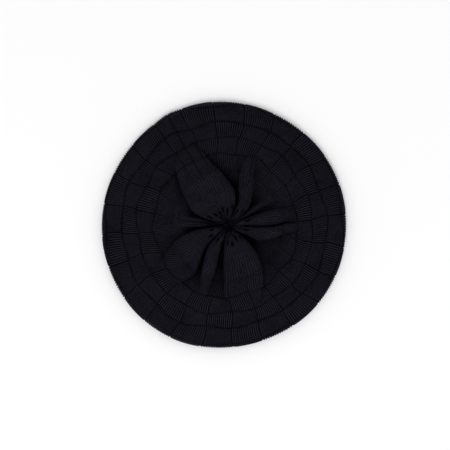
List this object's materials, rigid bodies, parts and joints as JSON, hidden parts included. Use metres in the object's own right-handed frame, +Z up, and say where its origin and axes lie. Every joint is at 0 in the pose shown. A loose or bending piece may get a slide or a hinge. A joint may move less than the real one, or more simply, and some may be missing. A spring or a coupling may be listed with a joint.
{
  "type": "beret",
  "caption": "Round fine-knit beret lying crown up, gathered into folds at the centre, turned under at the rim to a folded elastic headband.",
  "frame": {"origin": "on the axis of the head opening, at the bottom fold of the headband, where the beret stands on a surface", "axes": "+Z up through the gathered crown, back seam on +Y, front towards -Y, wearer's right towards +X"},
  "size_m": [0.28, 0.28, 0.0393],
  "materials": {
    "knit": "fine matte basket knit, soft sheen",
    "rib_knit": "fine matte rib knit, soft sheen",
    "seam": "linked knit edge, matte",
    "thread": "plied sewing yarn, matte",
    "elastic": "woven elastic tape, matte",
    "tab": "blank woven satin label, low sheen"
  },
  "bodies": {
    "beret": {"crown_knit": "knit", "back_seam": "seam", "gather_thread": "thread", "gather_knot": "thread", "headband": "rib_knit", "band_linking": "thread", "band_elastic": "elastic", "elastic_join": "thread", "tab_stitches": "thread"},
    "tab": {"size_tab": "tab"}
  },
  "joints": [
    {"name": "tab_flip", "type": "hinge", "parent": "beret", "child": "tab", "pos_m": [0, 0.0864, 0.0194], "axis": [-1, 0, 0], "range_deg": [0, 100]}
  ]
}
